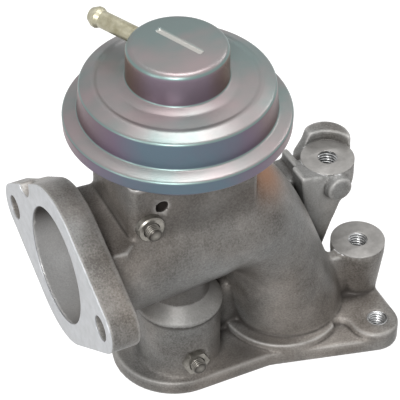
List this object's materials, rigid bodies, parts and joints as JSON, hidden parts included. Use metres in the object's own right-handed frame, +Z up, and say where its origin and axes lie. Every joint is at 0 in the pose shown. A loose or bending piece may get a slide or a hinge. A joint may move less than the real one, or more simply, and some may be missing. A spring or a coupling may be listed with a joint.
{
  "type": "egr valve",
  "caption": "Vacuum-operated EGR valve on a cast intake elbow: diaphragm case with hose nipple, flanged inlet, flanged base with tapped posts, poppet valve inside.",
  "frame": {"origin": "where the valve's axis meets the underside of the base, at the EGR port", "axes": "+Z up the valve's axis towards the diaphragm case; -X out of the intake flange; -Y towards the side with the two studs"},
  "size_m": [0.1309, 0.0932, 0.1447],
  "materials": {
    "cast_aluminium": "as-cast, shot blasted, machined faces brighter",
    "zinc_plated_sheet": "pressed sheet, satin zinc plate with a faint rainbow sheen",
    "yellow_zinc": "yellow zinc plate",
    "stud_steel": "plain zinc plate, dulled",
    "screw_steel": "zinc plate",
    "valve_steel": "ground",
    "seat_steel": "turned",
    "bush_bronze": "turned",
    "seal_rubber": "moulded",
    "gasket_fibre": "pressed fibre sheet",
    "diaphragm_rubber": "fabric-backed rubber",
    "plate_steel": "zinc plate",
    "spring_steel": "drawn wire"
  },
  "bodies": {
    "housing_body": {"housing": "cast_aluminium", "diaphragm_cover": "zinc_plated_sheet", "lower_case": "zinc_plated_sheet", "vacuum_nipple": "yellow_zinc", "block_stud": "stud_steel", "block_nut": "stud_steel", "boss_stud": "stud_steel", "boss_nut": "stud_steel", "case_screws": "screw_steel", "valve_seat": "seat_steel", "guide_bush": "bush_bronze", "stem_seal": "seal_rubber", "seal_retainer": "screw_steel", "case_gasket": "gasket_fibre", "diaphragm": "diaphragm_rubber", "return_spring": "spring_steel"},
    "valve": {"valve_stem": "valve_steel", "valve_head": "valve_steel", "plate_upper": "plate_steel", "plate_lower": "plate_steel", "plate_washer": "plate_steel", "stem_nut": "plate_steel"}
  },
  "joints": [
    {"name": "valve_lift", "type": "slide", "parent": "housing_body", "child": "valve", "axis": [0, 0, 1], "range_m": [0, 0.006], "stiffness_N_per_m": 1500, "springref_m": -0.012, "deforming": ["return_spring", "diaphragm"]}
  ]
}
